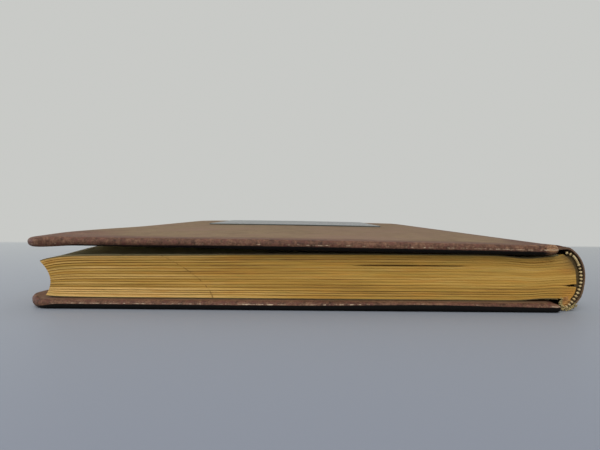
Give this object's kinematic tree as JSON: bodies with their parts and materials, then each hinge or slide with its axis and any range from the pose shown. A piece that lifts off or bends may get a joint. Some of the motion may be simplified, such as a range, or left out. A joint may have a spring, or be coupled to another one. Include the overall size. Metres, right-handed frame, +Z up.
{
  "type": "photo album",
  "caption": "Case-bound album with rounded leather covers that hinge at a rounded spine, a thick block of leaves with a hollow fore-edge, beaded headbands and a bare cover panel.",
  "frame": {"origin": "on the table under the middle of the album's box, with the lower cover lying on the table", "axes": "+X towards the spine, +Y along the spine to the far end, +Z up"},
  "size_m": [0.217, 0.28, 0.0283],
  "materials": {
    "leather": "worn brown leather, rubbed pale at the edges",
    "board": "raw binder's board",
    "endpaper": "plain toned paper",
    "leaves": "yellowed trimmed edges",
    "cloth": "open cotton weave",
    "headband": "cream thread over a cord",
    "panel": "smooth glossy grey"
  },
  "bodies": {
    "lower_cover": {"lower_leather": "leather", "lower_board": "board", "lower_pastedown": "endpaper"},
    "block": {"page_block": "leaves", "lower_flyleaf": "endpaper", "upper_flyleaf": "endpaper", "mull": "cloth", "head_band": "headband", "tail_band": "headband", "spine_inlay": "board", "spine_leather": "leather"},
    "upper_cover": {"upper_leather": "leather", "upper_board": "board", "upper_pastedown": "endpaper", "cover_panel": "panel"}
  },
  "joints": [
    {"name": "lower_hinge", "type": "hinge", "parent": "lower_cover", "child": "block", "pos_m": [0.09897, 0, 0], "axis": [0, 1, 0], "range_deg": [0, 90]},
    {"name": "upper_hinge", "type": "hinge", "parent": "block", "child": "upper_cover", "pos_m": [0.09748, 0, 0.0255], "axis": [0, 1, 0], "range_deg": [-0.65, 178]}
  ]
}
